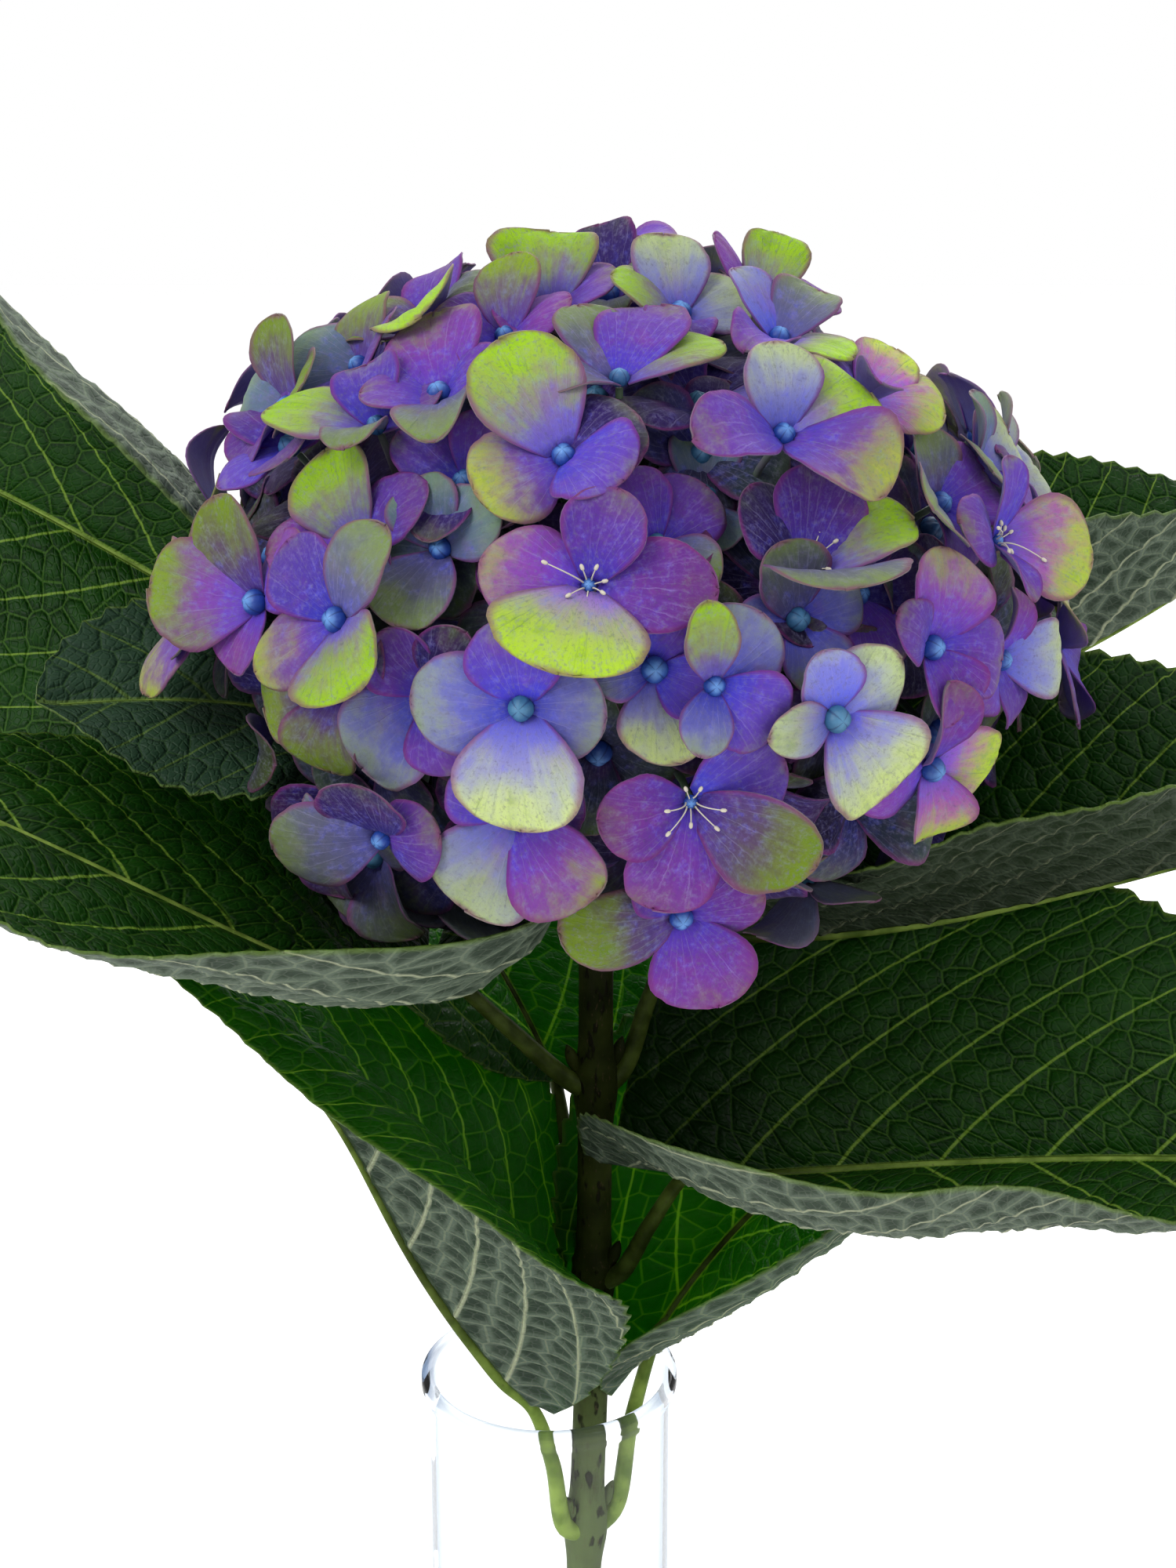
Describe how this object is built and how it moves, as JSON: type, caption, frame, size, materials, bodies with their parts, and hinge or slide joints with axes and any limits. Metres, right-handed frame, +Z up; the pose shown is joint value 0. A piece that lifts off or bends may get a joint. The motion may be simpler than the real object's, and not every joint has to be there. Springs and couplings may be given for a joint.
{
  "type": "hydrangea stem in a glass vase",
  "caption": "Cut hydrangea stem with a domed flower head and broad toothed leaves, standing in water in a clear glass cylinder vase.",
  "frame": {"origin": "centre of the flat underside of the vase", "axes": "+Z up along the vase, -Y towards the front of the flower head, +X to the right as seen from the front"},
  "size_m": [0.3543, 0.2412, 0.4588],
  "materials": {
    "glass": "clear, thin, polished, with a rounded lip",
    "water": "still and clear",
    "stem": "smooth green bark with dark specks",
    "leaf": "quilted dark green upper side with sunken pale veins, paler greyish underside with raised veins",
    "sepals": "soft matte sepals, blue-violet to magenta with lime green patches and fine radial veins"
  },
  "bodies": {
    "root": {"vase": "glass", "water": "water", "stem": "stem", "leaf_low_left": "leaf", "leaf_low_right": "leaf", "leaf_middle_right": "leaf", "leaf_middle_left": "leaf", "leaf_high_left": "leaf", "leaf_high_right": "leaf", "leaf_top_left": "leaf", "leaf_top_right": "leaf", "leaf_small_left": "leaf", "flower_head": "sepals"}
  },
  "joints": []
}
